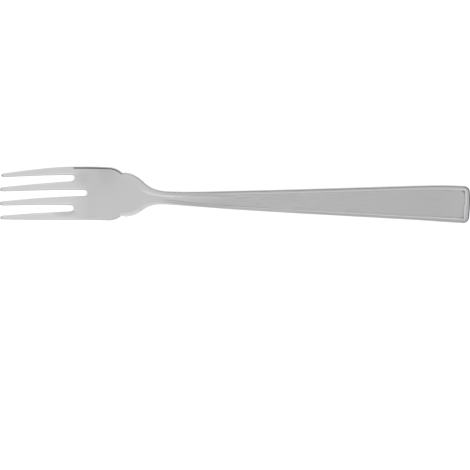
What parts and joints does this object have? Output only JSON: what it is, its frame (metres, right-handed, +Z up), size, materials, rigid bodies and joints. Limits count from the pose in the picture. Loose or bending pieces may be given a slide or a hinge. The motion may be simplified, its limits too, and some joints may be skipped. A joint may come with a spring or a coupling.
{
  "type": "fish fork",
  "caption": "One-piece stamped steel fish fork with tapered tines, notched shoulders, a slim grooved neck and a widening handle with a sunk, bordered panel.",
  "frame": {"origin": "on the resting plane, under the middle of the fork's length and width", "axes": "+X towards the end of the handle, -X towards the tips of the tines, +Y across, +Z up, out of the hollow side"},
  "size_m": [0.18, 0.0206, 0.0194],
  "materials": {
    "steel": "satin polished stainless steel, fine grain along the length"
  },
  "bodies": {
    "root": {"fork": "steel"}
  },
  "joints": []
}
